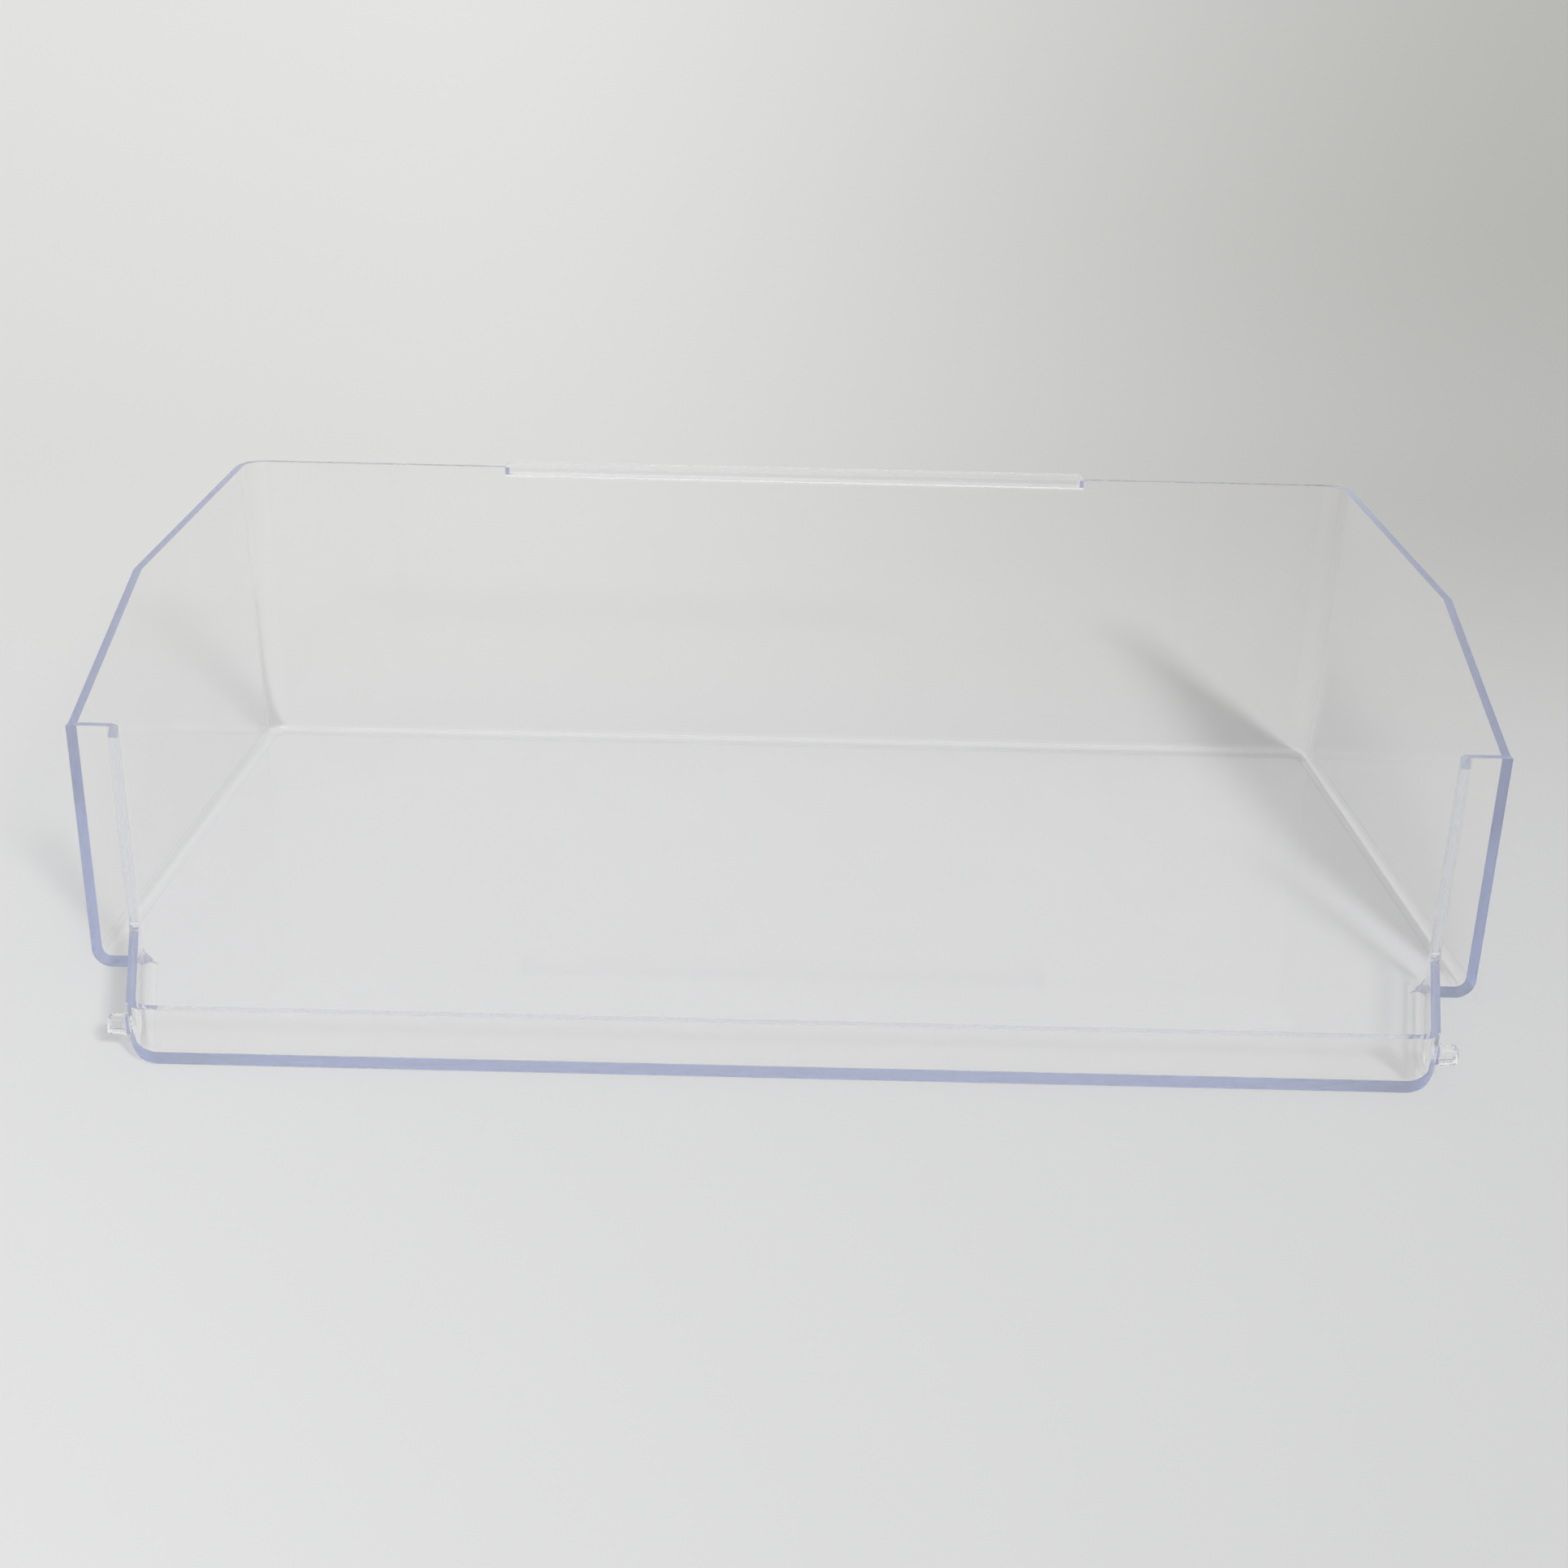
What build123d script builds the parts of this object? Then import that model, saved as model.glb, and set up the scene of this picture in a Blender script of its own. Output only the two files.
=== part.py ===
from build123d import *
import os
from math import atan, cos, radians, tan

# Fridge dairy compartment cover: one clear moulding, lying on its roof panel with the hollow upwards.
# X runs across the width, Y from the hinge edge (front) to the flap (rear), Z up. Millimetres.

# Tray
box_width = 290.0           # outside width of the side walls at the floor
box_depth = 182.0           # hinge edge to the outer face of the rear wall
rear_height = 76.8          # top of the rear wall
wall = 1.8                  # thickness of every upright wall
floor = 2.0                 # thickness of the floor panel
side_draft = 0.75           # lean of the side walls in degrees, wider at the top
rear_corner_radius = 7.0    # outside radius of the two upright rear corners
box_floor_radius = 4.0      # outside radius where the floor turns up into the side and rear walls

# Side wall outline
flange_height = 52.9        # front edge of the side walls, and the return flanges
flange_lean = 2.8           # lean of the return flanges in degrees, further back at the top
knee_setback = 51.7         # foot of the flanges to the knee in the top edge
knee_drop = 5.0             # knee below the top of the rear wall

# Tongue in front of the return flanges
tongue_depth = 39.6         # hinge edge to the foot of the return flanges
flange_reach = 8.9          # outer face of a side wall to the outer face of the low wall, at the flange foot
tongue_taper = 12.0         # run-in of each low wall from the flange to the hinge edge
tongue_wall_height = 11.8   # hinge lip and the two low side walls
tongue_floor_radius = 5.0   # outside radius where the floor turns up into the low side walls
tongue_corner_radius = 4.7  # outside radius, seen from above, between hinge lip and low side wall
stub_length = 6.5           # full-height stub of each low side wall, in front of its flange's top
stub_bend_radius = 1.0      # outside radius of the bend between flange and stub
stub_root_radius = 3.0      # round between the stub's front edge and the top of the low wall

# Hinge pins
pin_diameter = 4.0
pin_length = 2.9            # reach beyond its shoulder
pin_setback = 4.7           # axis behind the hinge edge
pin_height = 6.0            # axis above the underside
pin_chamfer = 0.4
shoulder_diameter = 4.4     # thicker root that holds the socket's rim off the slanted wall
socket_radius = 3.0         # room for that rim around the axis

# Finger grip along the top of the rear wall
grip_length = 153.0
grip_reach = 6.0            # beyond the outer face of the rear wall
grip_thickness = 2.2
grip_corner_radius = 1.5
grip_root_radius = 1.0

edge_round = 0.4            # small round on the hinge edge

# Derived
spread = tan(radians(side_draft))
side_inset = wall / cos(radians(side_draft))
tongue_front_half = box_width / 2 - flange_reach - tongue_taper
slant = tongue_taper / tongue_depth
ear_inset = wall / cos(atan(slant))
lean = tan(radians(flange_lean))
flange_inset = wall / cos(radians(flange_lean))
flange_top = tongue_depth + lean * flange_height
overall_depth = box_depth + grip_reach
clear = 5.0                 # overshoot of cutting blocks past the solid


def tongue_half(y):
    """Outside half width of the tongue, at a distance behind the hinge edge."""
    return tongue_front_half + slant * y


def tray_block(inset, front, back, bottom, top, corner, floor_radius):
    """Block between the side walls, leaning in front, rounded at the rear corners and along the floor."""
    low = box_width / 2 - inset + spread * bottom
    high = box_width / 2 - inset + spread * top
    section = Polygon((-low, bottom), (low, bottom), (high, top), (-high, top), align=None)
    profile = Polygon(
        (front + lean * bottom, bottom), (back, bottom), (back, top), (front + lean * top, top), align=None
    )
    block = extrude(Plane.XZ.offset(-back) * section, amount=back)
    block &= extrude(Plane.YZ * profile, amount=high, both=True)
    rear_edges = block.faces().sort_by(Axis.Y)[-1].edges().filter_by(Axis.X, reverse=True)
    block = fillet(rear_edges, corner)
    floor_edges = block.faces().sort_by(Axis.Z)[0].edges().sort_by(Axis.Y)[1:]
    return fillet(floor_edges, floor_radius)


def tongue_block(inset, front, back, bottom, top, corner, floor_radius):
    """Block between the low side walls, rounded along the floor and at its two front corners."""
    near = tongue_half(front) - inset
    far = tongue_half(back) - inset
    plan = Polygon((-near, front), (near, front), (far, back), (-far, back), align=None)
    block = extrude(Plane.XY.offset(bottom) * plan, amount=top - bottom)
    side_edges = block.faces().sort_by(Axis.Z)[0].edges().filter_by(Axis.X, reverse=True)
    block = fillet(side_edges, floor_radius)
    front_edges = block.faces().sort_by(Axis.Y)[0].edges().sort_by(Axis.Z)[:-1]
    block = fillet(front_edges, edge_round)
    plan = fillet(plan.vertices().group_by(Axis.Y)[0], corner)
    return block & extrude(Plane.XY.offset(bottom) * plan, amount=top - bottom)


def bends(body, behind, inset):
    """Upright edges where a flange face meets a low wall's face, each face a given distance inside the outer one."""
    def at_bend(edge):
        spot = edge.center()
        on_flange = abs(spot.Y - tongue_depth - behind - lean * spot.Z) < 0.05
        on_wall = abs(abs(spot.X) - tongue_half(spot.Y) + inset) < 0.05
        return on_flange and on_wall and edge.length > flange_height / 2
    return body.edges().filter_by(at_bend)


# Solid outside and the hollow inside, both as tray plus tongue
top = rear_height + clear
meet = tongue_depth + flange_inset + lean * top
outside = tray_block(0, tongue_depth, box_depth, 0, top, rear_corner_radius, box_floor_radius)
outside += tongue_block(0, 0, meet, 0, top, tongue_corner_radius, tongue_floor_radius)
hollow = tray_block(
    side_inset, tongue_depth + flange_inset, box_depth - wall, floor, top + clear,
    rear_corner_radius - wall, box_floor_radius - wall,
)
hollow += tongue_block(
    ear_inset, wall, meet + clear, floor, top + clear,
    tongue_corner_radius - wall, tongue_floor_radius - wall,
)
shell = outside - hollow

# Bends between the flanges and the stubs
shell = fillet(bends(shell, 0, 0), stub_bend_radius)
shell = fillet(bends(shell, flange_inset, ear_inset), stub_bend_radius + wall)

# Top edge of all walls, seen from the side
step = flange_top - stub_length
above = Polygon(
    (-clear, tongue_wall_height),
    (step, tongue_wall_height),
    (step, flange_height),
    (flange_top + flange_inset, flange_height),
    (tongue_depth + knee_setback, rear_height - knee_drop),
    (box_depth - wall, rear_height),
    (box_depth + clear, rear_height),
    (box_depth + clear, top + clear),
    (-clear, top + clear),
    align=None,
)
stub_root = above.vertices().sort_by_distance((step, tongue_wall_height))[0]
above = fillet(stub_root, stub_root_radius)
cut_width = box_width + 2 * spread * top + 2 * clear
cover = shell - extrude(Plane.YZ * above, amount=cut_width / 2, both=True)

# Finger grip, flush with the top of the rear wall
grip = Pos(0, box_depth + (grip_reach - wall / 2) / 2, rear_height - grip_thickness / 2) * Box(
    grip_length, grip_reach + wall / 2, grip_thickness
)
grip = fillet(grip.edges().filter_by(Axis.Z).group_by(Axis.Y)[-1], grip_corner_radius)
cover += grip
grip_root = cover.edges().filter_by(Axis.X).filter_by(
    lambda e: abs(e.center().Y - box_depth) < 0.01
    and abs(e.center().Z - (rear_height - grip_thickness)) < 0.01
)
cover = fillet(grip_root, grip_root_radius)

# Hinge pins, each on a shoulder that ends square to the axis
pin_root = tongue_half(pin_setback) - wall / 2
pin_seat = tongue_half(pin_setback + socket_radius)
pin_tip = pin_seat + pin_length
for side in (-1, 1):
    pin = Cylinder(pin_diameter / 2, pin_tip - pin_root)
    pin = chamfer(pin.edges().sort_by(Axis.Z)[-1], pin_chamfer)
    shoulder = Cylinder(shoulder_diameter / 2, pin_seat - pin_root)
    pin = Pos(0, 0, (pin_tip - pin_seat) / 2) * pin + shoulder
    cover += Pos(side * (pin_root + pin_seat) / 2, pin_setback, pin_height) * Rot(0, side * 90, 0) * pin

# Row frame: middle of the width and depth, underside at zero
cover = Pos(0, -overall_depth / 2, 0) * cover

os.makedirs("parts", exist_ok=True)
export_step(cover, "parts/dairy_cover.step")
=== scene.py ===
import math

import bmesh
import bpy
from bpy.props import FloatProperty, FloatVectorProperty, PointerProperty
from mathutils import Matrix, Vector


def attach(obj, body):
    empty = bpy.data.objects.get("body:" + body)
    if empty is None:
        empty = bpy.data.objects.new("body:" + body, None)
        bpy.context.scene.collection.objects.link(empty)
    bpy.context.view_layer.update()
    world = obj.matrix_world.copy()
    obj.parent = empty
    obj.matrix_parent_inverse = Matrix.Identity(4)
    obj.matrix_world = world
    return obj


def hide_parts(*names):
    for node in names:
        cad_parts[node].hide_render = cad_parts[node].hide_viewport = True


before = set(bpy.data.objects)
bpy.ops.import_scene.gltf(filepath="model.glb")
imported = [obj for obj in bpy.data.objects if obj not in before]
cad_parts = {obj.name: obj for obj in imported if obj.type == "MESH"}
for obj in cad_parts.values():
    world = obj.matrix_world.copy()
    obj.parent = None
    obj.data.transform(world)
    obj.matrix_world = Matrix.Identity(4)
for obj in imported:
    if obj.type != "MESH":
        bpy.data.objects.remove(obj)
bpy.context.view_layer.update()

bl_info = {
    "name": "Dairy Compartment Cover",
    "version": (1, 0, 0),
    "blender": (4, 5, 0),
    "location": "View3D > Sidebar > Dairy Cover",
    "description": "Finishes the clear moulded cover of a refrigerator dairy compartment and sets its stage",
    "category": "Object",
}

NODE = "dairy_cover"
WHITE = (1.0, 1.0, 1.0, 1.0)

# Mesh of the cover, in metres and radians
MERGE_DISTANCE = 1e-6
FLAT_ANGLE = math.radians(0.2)  # faces that meet at less than this become one again
ROUND_SEGMENTS = 2
FACE_WEIGHT = 100  # all shading weight goes to the larger faces
NARROW = 0.003  # faces slimmer than this are rims, rounds and pins
FLOOR_ROUND = 0.004  # height of the round along the floor, which casts no shadow of its own

# Finish of the plastic
POLISH_SCALE = 38.0
POLISH_DETAIL = 3.0
POLISH_GRAIN = 0.55
POLISH_SPAN = (0.35, 0.7)  # part of the noise that is stretched over the two roughness values
ROUGHNESS = (0.07, 0.09)
FLOW_SCALE = 16.0
FLOW_DETAIL = 1.0
RIPPLE_STRENGTH = 0.02
RIPPLE_HEIGHT = 0.0004

# Light through the plastic
SLANT_POWER = 8.0  # how late the loss of lamp light sets in as a wall turns away from the lamp
SLANT_FULL = 0.2  # where on that curve no lamp light is left
BOUNCE_SHARE = 0.965  # share of bounced light that passes one surface

# Painted falloff of light over the paper's colour, by place in metres or by sideways angle seen from the
# fan's apex
FAN_APEX = 0.41  # apex in front of the part's middle
FAN_FRONT = (-0.5, 0.5)
FAN_REAR = (-0.20, 0.44)
NEAR_EDGE = (-0.38, -0.22)
DEPTH_SPAN = (-0.10, 0.42)
FAR_SPAN = (0.5, 0.95)
RISE_SPAN = (0.3, 0.8)

# Shape of the paper, in metres
SHEET_LEVEL = -0.0002
SHEET_NEAR = -3.0
SHEET_BEND = 0.4  # where the sheet starts to curve up
SHEET_RADIUS = 1.9
SHEET_HEIGHT = 3.0
SHEET_HALF_WIDTH = 4.0
SHEET_STEPS = 48

# Lamps and camera, in metres
GLEAM_LENGTH = 1.6
GLEAM_WIDTH = 0.2
GLEAM_PLACE = (0.0, -0.55, 1.25)
SENSOR_WIDTH = 36.0  # millimetres
NEAREST_SEEN = 0.01

# Light runs along the thin walls by many inner reflections
INNER_BOUNCES = 64
STRAIGHT_BOUNCES = 32
SCATTER_BOUNCES = 8


class CoverProperties(bpy.types.PropertyGroup):
    """Sizes and finish of the clear moulding."""

    rim_round: FloatProperty(
        name="Rim round",
        description="Small round that the mould leaves on every sharp edge",
        default=0.00025, min=0.0, max=0.0008, unit="LENGTH", precision=5,
    )
    crease_angle: FloatProperty(
        name="Crease angle",
        description="Edges sharper than this stay crisp",
        default=math.radians(30), subtype="ANGLE",
    )
    plastic_colour: FloatVectorProperty(
        name="Plastic colour",
        description="Tint of one pass through a surface",
        default=(1.0, 0.995, 0.983), size=3, subtype="COLOR", min=0.0, max=1.0,
    )
    depth_colour: FloatVectorProperty(
        name="Depth colour",
        description="Colour that long paths inside the plastic turn to",
        default=(0.10, 0.30, 0.90), size=3, subtype="COLOR", min=0.0, max=1.0,
    )
    depth_density: FloatProperty(
        name="Depth density",
        description="How fast the depth colour builds up, per metre of plastic",
        default=5.5, min=0.0,
    )
    glow: FloatProperty(
        name="Edge glow",
        description="Light scattered inside, per metre, which makes walls glow where they are seen end on",
        default=6.5, min=0.0,
    )
    haze: FloatProperty(
        name="Haze",
        description="Share of light that the surface itself scatters",
        default=0.01, min=0.0, max=0.3,
    )
    edge_shadow: FloatProperty(
        name="Edge shadow",
        description="Share of lamp light that rims, rounds and pins bend aside, so that they cast a shadow",
        default=0.42, min=0.0, max=1.0,
    )
    refraction: FloatProperty(
        name="Refraction",
        description="Index of refraction of the plastic",
        default=1.57, min=1.3, max=1.8,
    )


class StageProperties(bpy.types.PropertyGroup):
    """Paper sweep, lamps and camera."""

    # Painted light and shade: the paper is painted lighter to the left and darker to the right, most so at
    # the back, where the light falls off
    front_left_lit: FloatVectorProperty(
        name="Paper, front left", description="Paper colour in front of the part, to the left",
        default=(0.762, 0.765, 0.769), size=3, subtype="COLOR", min=0.0, max=1.0,
    )
    front_right_shade: FloatVectorProperty(
        name="Paper, front right", description="Paper colour in front of the part, to the right",
        default=(0.638, 0.641, 0.645), size=3, subtype="COLOR", min=0.0, max=1.0,
    )
    rear_left_lit: FloatVectorProperty(
        name="Paper, rear left", description="Paper colour behind the part, to the left",
        default=(0.795, 0.795, 0.780), size=3, subtype="COLOR", min=0.0, max=1.0,
    )
    rear_right_shade: FloatVectorProperty(
        name="Paper, rear right", description="Paper colour far behind the part, to the right",
        default=(0.480, 0.478, 0.463), size=3, subtype="COLOR", min=0.0, max=1.0,
    )
    middle_right_shade: FloatVectorProperty(
        name="Paper, middle right", description="Paper colour close behind the part, to the right",
        default=(0.525, 0.523, 0.510), size=3, subtype="COLOR", min=0.0, max=1.0,
    )
    near: FloatVectorProperty(
        name="Paper, near", description="Even paper colour on the camera's side, below the view",
        default=(0.705, 0.707, 0.711), size=3, subtype="COLOR", min=0.0, max=1.0,
    )
    # Painted light: the part of the sheet above the view is painted paler than the paper below it
    upper: FloatVectorProperty(
        name="Paper, upper part", description="Paper colour above the view, which the plastic mirrors",
        default=(0.840, 0.840, 0.835), size=3, subtype="COLOR", min=0.0, max=1.0,
    )
    sky: FloatProperty(
        name="Fill light", description="Strength of the even light all around",
        default=0.63, min=0.0,
    )
    surround: FloatProperty(
        name="Surround",
        description="Brightness of the pale room that the plastic mirrors and shows in its edges",
        default=0.9, min=0.0, max=1.0,
    )
    gleam: FloatProperty(
        name="Gleam",
        description="Brightness of the long lamp overhead that draws thin lines on rounded edges",
        default=3.0, min=0.0,
    )
    key: FloatProperty(
        name="Key light", description="Strength of the lamp behind the camera, over its right shoulder",
        default=1.7, min=0.0,
    )
    key_radius: FloatProperty(
        name="Key radius", description="Size of that lamp, which softens the shadows",
        default=0.08, min=0.0, unit="LENGTH",
    )
    key_place: FloatVectorProperty(
        name="Key place", description="Where that lamp stands in the part's frame",
        default=(0.36, -0.77, 0.59), size=3, subtype="TRANSLATION", unit="LENGTH",
    )
    lens: FloatProperty(
        name="Lens", description="Focal length in millimetres on a 36 mm wide frame",
        default=43.81, min=1.0,
    )
    camera_place: FloatVectorProperty(
        name="Camera place", description="Camera position in the part's frame",
        default=(-0.00088, -0.41144, 0.18718), size=3, subtype="TRANSLATION", unit="LENGTH", precision=5,
    )
    camera_pitch: FloatProperty(
        name="Camera pitch", description="How far the camera looks down",
        default=math.radians(21.738), subtype="ANGLE",
    )
    camera_roll: FloatProperty(
        name="Camera roll", description="Turn of the camera about its own line of sight",
        default=math.radians(1.331), subtype="ANGLE",
    )


def new_material(name):
    """Node material with nothing in its tree yet, and that tree."""
    mat = bpy.data.materials.new(name)
    mat.use_nodes = True
    mat.node_tree.nodes.clear()
    return mat, mat.node_tree


def add_node(tree, kind, place, **values):
    """New node of a kind at a place in the node editor, with its input sockets set by name."""
    node = tree.nodes.new(kind)
    node.location = place
    for socket, value in values.items():
        node.inputs[socket.replace("_", " ")].default_value = value
    return node


def feed(tree, socket, value):
    """Give a socket either another node's output or a fixed value."""
    if isinstance(value, bpy.types.NodeSocket):
        tree.links.new(value, socket)
    else:
        socket.default_value = value


def calculate(tree, place, operation, first, second):
    """Output of one arithmetic operation on two values."""
    node = add_node(tree, "ShaderNodeMath", place)
    node.operation = operation
    feed(tree, node.inputs[0], first)
    feed(tree, node.inputs[1], second)
    return node.outputs["Value"]


def map_range(tree, place, source, span=(0.0, 1.0), ends=(0.0, 1.0), kind="LINEAR"):
    """Output that goes from one end to the other while the source goes through a span."""
    node = add_node(
        tree, "ShaderNodeMapRange", place,
        From_Min=span[0], From_Max=span[1], To_Min=ends[0], To_Max=ends[1],
    )
    node.interpolation_type = kind
    tree.links.new(source, node.inputs["Value"])
    return node.outputs["Result"]


def ease(tree, place, source, span):
    """Output that goes softly from 0 to 1 while the source goes through a span."""
    return map_range(tree, place, source, span, kind="SMOOTHSTEP")


def mix_colours(tree, place, factor, first, second):
    """Output of a mix of two colours."""
    node = add_node(tree, "ShaderNodeMix", place)
    node.data_type = "RGBA"
    tree.links.new(factor, node.inputs["Factor"])
    feed(tree, node.inputs["A"], first)
    feed(tree, node.inputs["B"], second)
    return node.outputs["Result"]


def mix_shaders(tree, place, factor, first, second):
    """Output of a mix of two shaders."""
    node = add_node(tree, "ShaderNodeMixShader", place)
    tree.links.new(factor, node.inputs["Fac"])
    tree.links.new(first, node.inputs[1])
    tree.links.new(second, node.inputs[2])
    return node.outputs["Shader"]


def clear_plastic(p):
    """Clear moulded plastic: glossy, slightly rippled, blue where the light runs along a wall."""
    mat, tree = new_material("clear_plastic")
    out = add_node(tree, "ShaderNodeOutputMaterial", (900, 0))
    place = add_node(tree, "ShaderNodeTexCoord", (-900, 0)).outputs["Object"]
    path = add_node(tree, "ShaderNodeLightPath", (-150, 500)).outputs
    plastic = add_node(
        tree, "ShaderNodeBsdfPrincipled", (200, 0), Base_Color=(*p.plastic_colour, 1.0),
        IOR=p.refraction, Transmission_Weight=1.0 - p.haze,
    )

    # Polish differs a little from place to place
    cloud = add_node(
        tree, "ShaderNodeTexNoise", (-650, 200),
        Scale=POLISH_SCALE, Detail=POLISH_DETAIL, Roughness=POLISH_GRAIN,
    )
    tree.links.new(place, cloud.inputs["Vector"])
    polish = map_range(tree, (-400, 200), cloud.outputs["Fac"], POLISH_SPAN, ROUGHNESS)
    tree.links.new(polish, plastic.inputs["Roughness"])

    # Slow ripple left by the flow of the melt
    flow = add_node(tree, "ShaderNodeTexNoise", (-650, -200), Scale=FLOW_SCALE, Detail=FLOW_DETAIL)
    ripple = add_node(
        tree, "ShaderNodeBump", (-150, -200), Strength=RIPPLE_STRENGTH, Distance=RIPPLE_HEIGHT,
    )
    tree.links.new(place, flow.inputs["Vector"])
    tree.links.new(flow.outputs["Fac"], ripple.inputs["Height"])
    tree.links.new(ripple.outputs["Normal"], plastic.inputs["Normal"])

    # Lamp light passes straight through, except at a steep slant and partly at rims, rounds and pins
    slant = add_node(tree, "ShaderNodeLayerWeight", (-350, -450), Blend=0.5).outputs["Facing"]
    steep = calculate(tree, (-150, -450), "POWER", slant, SLANT_POWER)
    passed = map_range(tree, (50, -450), steep, (0.0, SLANT_FULL), (1.0, 0.0))
    edge = add_node(tree, "ShaderNodeAttribute", (-150, -700))
    edge.attribute_name = "edge"
    bent = map_range(tree, (50, -700), edge.outputs["Fac"], ends=(1.0, 1.0 - p.edge_shadow))
    let_by = calculate(tree, (250, -600), "MULTIPLY", passed, bent)

    # Bounced light loses little anywhere, because walls throw back what they don't let through
    bounced = map_range(tree, (150, -850), path["Is Diffuse Ray"], ends=(0.0, BOUNCE_SHARE))
    spared = calculate(tree, (350, -600), "MAXIMUM", let_by, bounced)
    open_way = add_node(tree, "ShaderNodeBsdfTransparent", (450, -450))
    tree.links.new(spared, open_way.inputs["Color"])
    either = calculate(tree, (150, 450), "MAXIMUM", path["Is Shadow Ray"], path["Is Diffuse Ray"])
    surface = mix_shaders(tree, (650, 0), either, plastic.outputs["BSDF"], open_way.outputs["BSDF"])
    tree.links.new(surface, out.inputs["Surface"])

    # Inside, light turns blue along the way and a little of it is scattered
    depth = add_node(
        tree, "ShaderNodeVolumeAbsorption", (450, -250),
        Color=(*p.depth_colour, 1.0), Density=p.depth_density,
    )
    glow = add_node(tree, "ShaderNodeVolumeScatter", (450, -400), Color=WHITE, Density=p.glow)
    inside = add_node(tree, "ShaderNodeAddShader", (650, -300))
    tree.links.new(depth.outputs["Volume"], inside.inputs[0])
    tree.links.new(glow.outputs["Volume"], inside.inputs[1])
    tree.links.new(inside.outputs["Shader"], out.inputs["Volume"])
    return mat


def paper(p):
    """Pale paper with painted shade: darker to the right, most so at the back, and even below and above the
    view, where a lighter tone is painted.
    """
    mat, tree = new_material("paper_sweep")
    out = add_node(tree, "ShaderNodeOutputMaterial", (900, 0))
    place = add_node(tree, "ShaderNodeTexCoord", (-900, 0))
    axes = add_node(tree, "ShaderNodeSeparateXYZ", (-700, 0))
    tree.links.new(place.outputs["Object"], axes.inputs["Vector"])
    x, y, z = (axes.outputs[axis] for axis in "XYZ")

    # Sideways angle, as seen from the front of the sheet
    reach = calculate(tree, (-500, -150), "ADD", y, FAN_APEX)
    fan = calculate(tree, (-300, 0), "DIVIDE", x, reach)

    # Painted shade: behind the part the paper darkens to the right, more so far back
    far = ease(tree, (-300, -300), y, FAR_SPAN)
    right = mix_colours(tree, (-100, -150), far, (*p.middle_right_shade, 1.0), (*p.rear_right_shade, 1.0))
    span = ease(tree, (-100, 0), fan, FAN_REAR)
    behind = mix_colours(tree, (100, 0), span, (*p.rear_left_lit, 1.0), right)

    # Painted shade in front of the part: lighter to the left, darker to the right
    width = map_range(tree, (-100, 300), fan, FAN_FRONT)
    ahead = mix_colours(tree, (100, 300), width, (*p.front_left_lit, 1.0), (*p.front_right_shade, 1.0))
    below = ease(tree, (100, 550), y, NEAR_EDGE)
    front = mix_colours(tree, (300, 300), below, (*p.near, 1.0), ahead)

    depth = ease(tree, (-100, -300), y, DEPTH_SPAN)
    painted_falloff = mix_colours(tree, (300, 0), depth, front, behind)
    # Painted light: the sheet turns paler where it rises above the view
    rise = ease(tree, (300, -300), z, RISE_SPAN)
    whole = mix_colours(tree, (500, 0), rise, painted_falloff, (*p.upper, 1.0))
    face = add_node(tree, "ShaderNodeBsdfDiffuse", (700, 0))
    tree.links.new(whole, face.inputs["Color"])
    tree.links.new(face.outputs["BSDF"], out.inputs["Surface"])
    return mat


def finished_mesh(source, p):
    """The CAD mesh merged, with flat faces whole again, sharp edges slightly rounded and shading even."""
    work = bpy.data.meshes.new("cover_work")
    bm = bmesh.new()
    bm.from_mesh(source.data)
    bmesh.ops.remove_doubles(bm, verts=bm.verts, dist=MERGE_DISTANCE)
    bmesh.ops.dissolve_limit(bm, angle_limit=FLAT_ANGLE, verts=bm.verts, edges=bm.edges)
    bm.to_mesh(work)
    bm.free()
    work.shade_smooth()
    work.set_sharp_from_angle(angle=p.crease_angle)
    holder = bpy.data.objects.new("cover_work", work)
    bpy.context.scene.collection.objects.link(holder)
    bevel = holder.modifiers.new("rim_round", "BEVEL")
    bevel.width = p.rim_round
    bevel.segments = ROUND_SEGMENTS
    bevel.limit_method = "ANGLE"
    bevel.angle_limit = p.crease_angle
    bevel.use_clamp_overlap = True
    weigh = holder.modifiers.new("even_shade", "WEIGHTED_NORMAL")
    weigh.keep_sharp = True
    weigh.weight = FACE_WEIGHT
    seen = holder.evaluated_get(bpy.context.evaluated_depsgraph_get())
    mesh = bpy.data.meshes.new_from_object(seen)
    bpy.data.objects.remove(holder)
    bpy.data.meshes.remove(work)

    # Mark the slim faces, which cast the cover's shadow lines
    edge = mesh.attributes.new("edge", "FLOAT", "FACE")
    for face in mesh.polygons:
        corners = [mesh.vertices[i].co for i in face.vertices]
        longest = max((a - b).length for a, b in zip(corners, corners[1:] + corners[:1]))
        edge.data[face.index].value = float(face.area < NARROW * longest and face.center.z > FLOOR_ROUND)
    return mesh


class DAIRY_OT_mould_cover(bpy.types.Operator):
    """Make the clear cover over its CAD solid"""

    bl_idname = "dairy.mould_cover"
    bl_label = "Mould Cover"

    def execute(self, context):
        p = context.scene.dairy_cover
        mesh = finished_mesh(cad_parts[NODE], p)
        mesh.name = "cover_moulding"
        mesh.materials.clear()
        mesh.materials.append(clear_plastic(p))
        check = bmesh.new()
        check.from_mesh(mesh)
        loose = sum(1 for e in check.edges if not e.is_manifold)
        check.free()
        if loose:
            raise RuntimeError(f"the moulding has {loose} open edges")
        cover = bpy.data.objects.new("cover_moulding", mesh)
        context.scene.collection.objects.link(cover)
        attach(cover, "root")
        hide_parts(NODE)
        return {"FINISHED"}


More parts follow.
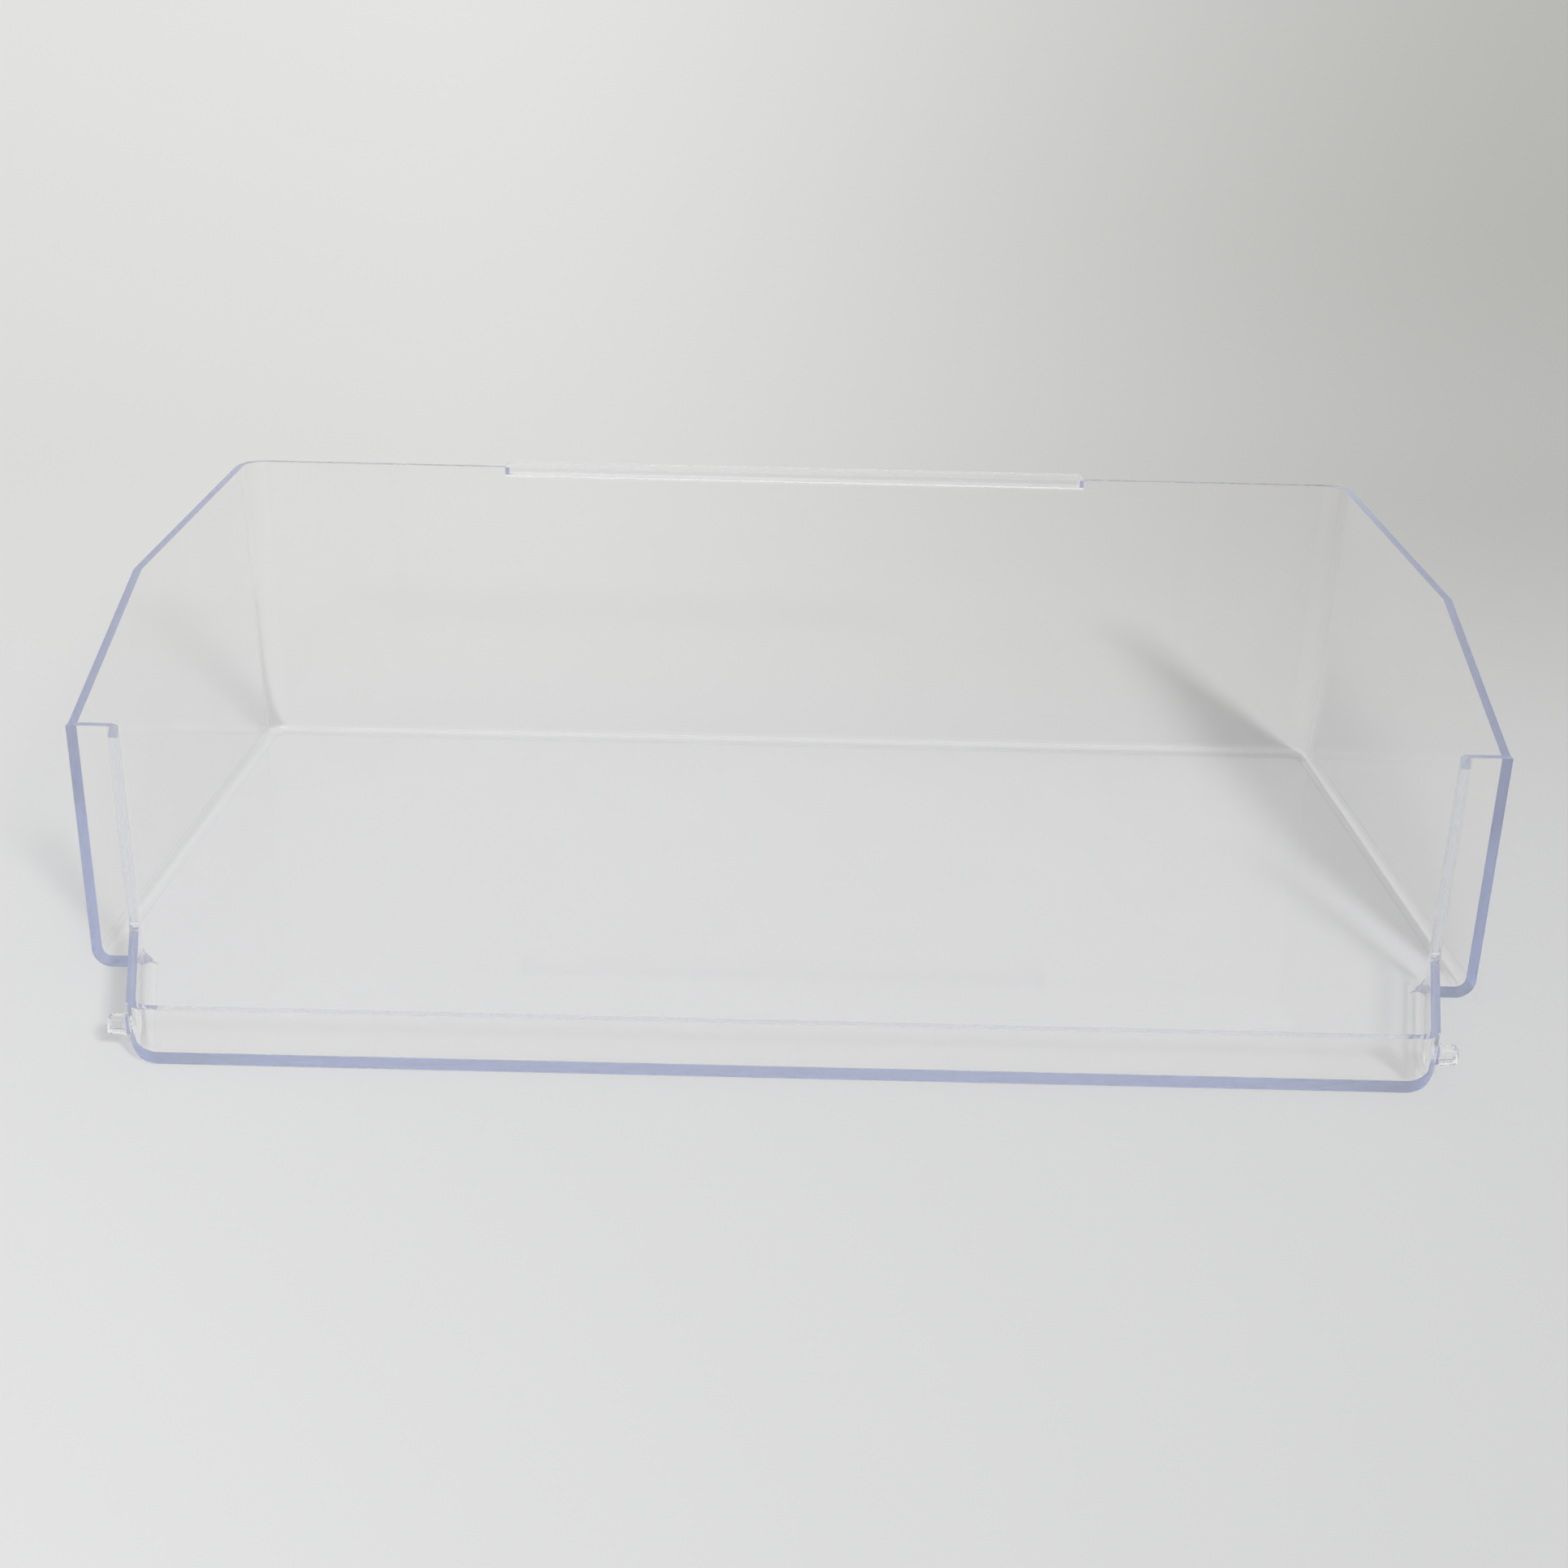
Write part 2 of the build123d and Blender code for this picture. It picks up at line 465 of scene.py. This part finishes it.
def sweep_mesh():
    """Sheet of paper that lies flat under the part and curves up slowly behind it."""
    profile = [(SHEET_NEAR, SHEET_LEVEL), (SHEET_BEND, SHEET_LEVEL)]
    for i in range(1, SHEET_STEPS + 1):
        a = math.radians(90 * i / SHEET_STEPS)
        y = SHEET_BEND + SHEET_RADIUS * math.sin(a)
        z = SHEET_LEVEL + SHEET_RADIUS * (1 - math.cos(a))
        profile.append((y, z))
    profile.append((SHEET_BEND + SHEET_RADIUS, SHEET_LEVEL + SHEET_HEIGHT))
    verts = [(x, y, z) for y, z in profile for x in (-SHEET_HALF_WIDTH, SHEET_HALF_WIDTH)]
    faces = [(2 * i, 2 * i + 1, 2 * i + 3, 2 * i + 2) for i in range(len(profile) - 1)]
    mesh = bpy.data.meshes.new("paper_sweep")
    mesh.from_pydata(verts, [], faces)
    mesh.shade_smooth()
    return mesh


def studio_world(p):
    """Even fill light, with a pale room wherever the camera or the plastic looks past the paper."""
    world = bpy.data.worlds.new("studio")
    world.use_nodes = True
    tree = world.node_tree
    tree.nodes.clear()
    out = add_node(tree, "ShaderNodeOutputWorld", (600, 0))
    light = add_node(tree, "ShaderNodeBackground", (0, 100), Color=WHITE, Strength=p.sky)
    room = add_node(tree, "ShaderNodeBackground", (0, -100), Color=WHITE, Strength=p.surround)
    path = add_node(tree, "ShaderNodeLightPath", (-400, 300)).outputs
    mirrored = calculate(tree, (-200, 300), "MAXIMUM", path["Is Glossy Ray"], path["Is Transmission Ray"])
    seen = calculate(tree, (0, 300), "MAXIMUM", path["Is Camera Ray"], mirrored)
    both = mix_shaders(tree, (300, 0), seen, light.outputs["Background"], room.outputs["Background"])
    tree.links.new(both, out.inputs["Surface"])
    return world


def key_lamp(p):
    """Lamp behind the camera, as strong far away as close by, which the plastic doesn't mirror."""
    light = bpy.data.lights.new("key_lamp", "POINT")
    light.energy = p.key * 4 * math.pi
    light.shadow_soft_size = p.key_radius
    light.use_nodes = True
    tree = light.node_tree
    even = add_node(tree, "ShaderNodeLightFalloff", (-300, 0), Strength=1.0)
    tree.links.new(even.outputs["Constant"], tree.nodes["Emission"].inputs["Strength"])
    lamp = bpy.data.objects.new("key_lamp", light)
    lamp.location = p.key_place
    lamp.visible_glossy = False
    lamp.visible_transmission = False
    return lamp


def gleam_lamp(p):
    """Long lamp overhead that only the plastic mirrors."""
    light = bpy.data.lights.new("gleam_lamp", "AREA")
    light.shape = "RECTANGLE"
    light.size = GLEAM_LENGTH
    light.size_y = GLEAM_WIDTH
    light.energy = p.gleam * math.pi * GLEAM_LENGTH * GLEAM_WIDTH
    lamp = bpy.data.objects.new("gleam_lamp", light)
    spot = Vector(GLEAM_PLACE)
    turn = spot.to_track_quat("Z", "Y").to_matrix().to_4x4()
    lamp.matrix_world = Matrix.Translation(spot) @ turn
    lamp.visible_diffuse = False
    return lamp


def photo_camera(p):
    """Camera at the photograph's place and angle."""
    pitch, roll = p.camera_pitch, p.camera_roll
    right = Vector((1.0, 0.0, 0.0))
    ahead = Vector((0.0, math.cos(pitch), -math.sin(pitch)))
    up = Vector((0.0, math.sin(pitch), math.cos(pitch)))
    side = math.cos(roll) * right + math.sin(roll) * up
    head = math.cos(roll) * up - math.sin(roll) * right
    turn = Matrix((side, head, -ahead)).transposed().to_4x4()
    data = bpy.data.cameras.new("photo_camera")
    data.lens = p.lens
    data.sensor_fit = "HORIZONTAL"
    data.sensor_width = SENSOR_WIDTH
    data.clip_start = NEAREST_SEEN
    camera = bpy.data.objects.new("photo_camera", data)
    camera.matrix_world = Matrix.Translation(Vector(p.camera_place)) @ turn
    return camera


class DAIRY_OT_set_stage(bpy.types.Operator):
    """Lay the paper sweep and set the lamps and the camera"""

    bl_idname = "dairy.set_stage"
    bl_label = "Set Stage"

    def execute(self, context):
        scene = context.scene
        p = scene.dairy_stage
        sheet = bpy.data.objects.new("paper_sweep", sweep_mesh())
        sheet.data.materials.append(paper(p))
        camera = photo_camera(p)
        for item in (sheet, key_lamp(p), gleam_lamp(p), camera):
            scene.collection.objects.link(item)
        scene.world = studio_world(p)
        scene.camera = camera
        scene.cycles.max_bounces = INNER_BOUNCES
        scene.cycles.glossy_bounces = INNER_BOUNCES
        scene.cycles.transmission_bounces = INNER_BOUNCES
        scene.cycles.transparent_max_bounces = STRAIGHT_BOUNCES
        scene.cycles.volume_bounces = SCATTER_BOUNCES
        scene.view_settings.view_transform = "Standard"
        return {"FINISHED"}


class DAIRY_PT_panel(bpy.types.Panel):
    """Sizes, finish and stage of the dairy compartment cover"""

    bl_idname = "DAIRY_PT_panel"
    bl_label = "Dairy Cover"
    bl_space_type = "VIEW_3D"
    bl_region_type = "UI"
    bl_category = "Dairy Cover"

    def draw(self, context):
        layout = self.layout
        for group, operator in (("dairy_cover", "dairy.mould_cover"), ("dairy_stage", "dairy.set_stage")):
            box = layout.box()
            settings = getattr(context.scene, group)
            for name in settings.bl_rna.properties.keys():
                if name not in ("rna_type", "name"):
                    box.prop(settings, name)
            box.operator(operator)


CLASSES = (
    CoverProperties,
    StageProperties,
    DAIRY_OT_mould_cover,
    DAIRY_OT_set_stage,
    DAIRY_PT_panel,
)


def register():
    for cls in CLASSES:
        bpy.utils.register_class(cls)
    bpy.types.Scene.dairy_cover = PointerProperty(type=CoverProperties)
    bpy.types.Scene.dairy_stage = PointerProperty(type=StageProperties)


def unregister():
    del bpy.types.Scene.dairy_stage
    del bpy.types.Scene.dairy_cover
    for cls in reversed(CLASSES):
        bpy.utils.unregister_class(cls)


def main():
    register()
    bpy.ops.dairy.mould_cover()
    bpy.ops.dairy.set_stage()


if __name__ == "__main__":
    main()
